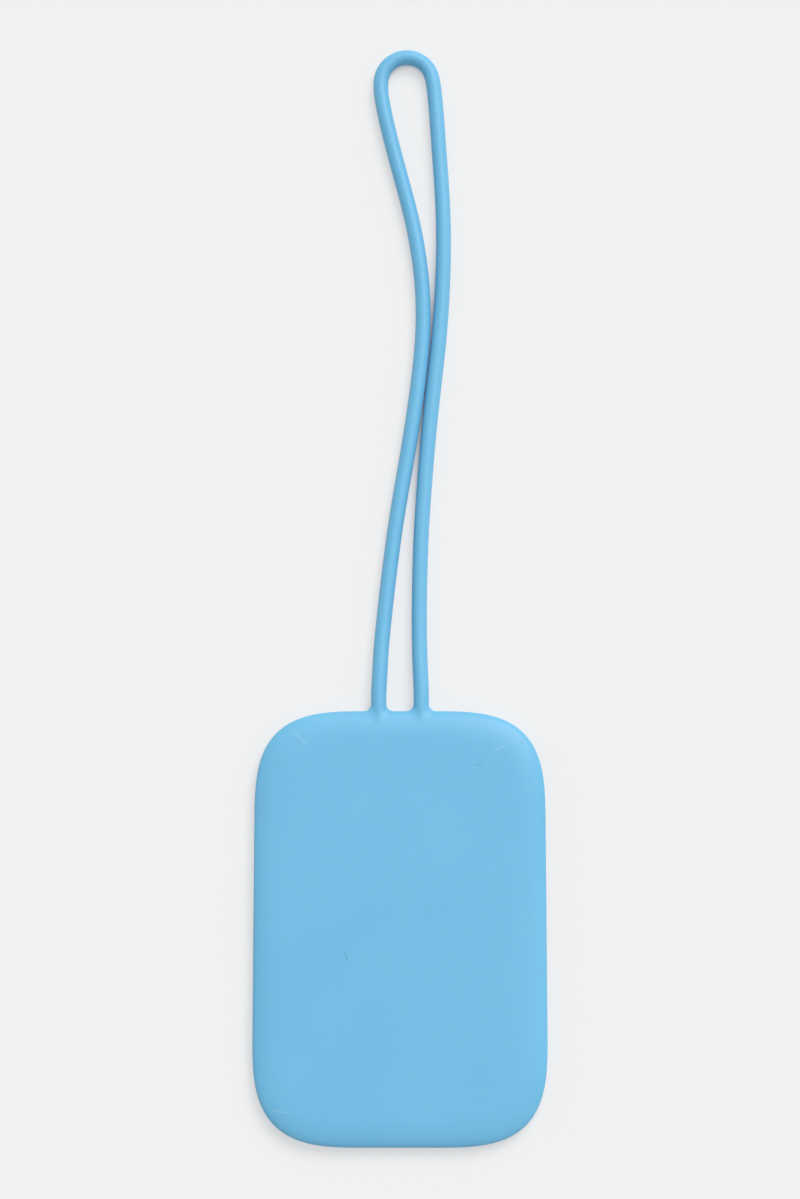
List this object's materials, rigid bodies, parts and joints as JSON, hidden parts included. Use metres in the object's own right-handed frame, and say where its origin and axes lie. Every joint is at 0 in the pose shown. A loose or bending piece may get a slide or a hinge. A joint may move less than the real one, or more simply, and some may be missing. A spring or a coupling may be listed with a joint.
{
  "type": "luggage tag",
  "caption": "Flat silicone luggage tag with rounded corners, a round cord loop, and a card pocket with a clear back window and a side slot.",
  "frame": {"origin": "middle of the sleeve's back face, on the surface that the tag lies on", "axes": "+X across the tag, towards the side that the card slides out of; +Y along the tag, towards the loop; +Z out of the plain front face"},
  "size_m": [0.07, 0.2715, 0.005],
  "materials": {
    "silicone": "matte sky-blue silicone rubber, fine moulded texture",
    "clear_cover": "clear glossy plastic sheet",
    "card_stock": "uncoated off-white card with plain ruled lines"
  },
  "bodies": {
    "sleeve": {"front_shell": "silicone", "back_frame": "silicone", "cord_root_left": "silicone", "cord_root_right": "silicone", "loop_cord": "silicone"},
    "cover": {"window_cover": "clear_cover"},
    "card": {"address_card": "card_stock"}
  },
  "joints": [
    {"name": "cover_slide", "type": "slide", "parent": "sleeve", "child": "cover", "axis": [1, 0, 0], "range_m": [0, 0.064]},
    {"name": "card_slide", "type": "slide", "parent": "sleeve", "child": "card", "axis": [1, 0, 0], "range_m": [0, 0.064]}
  ]
}
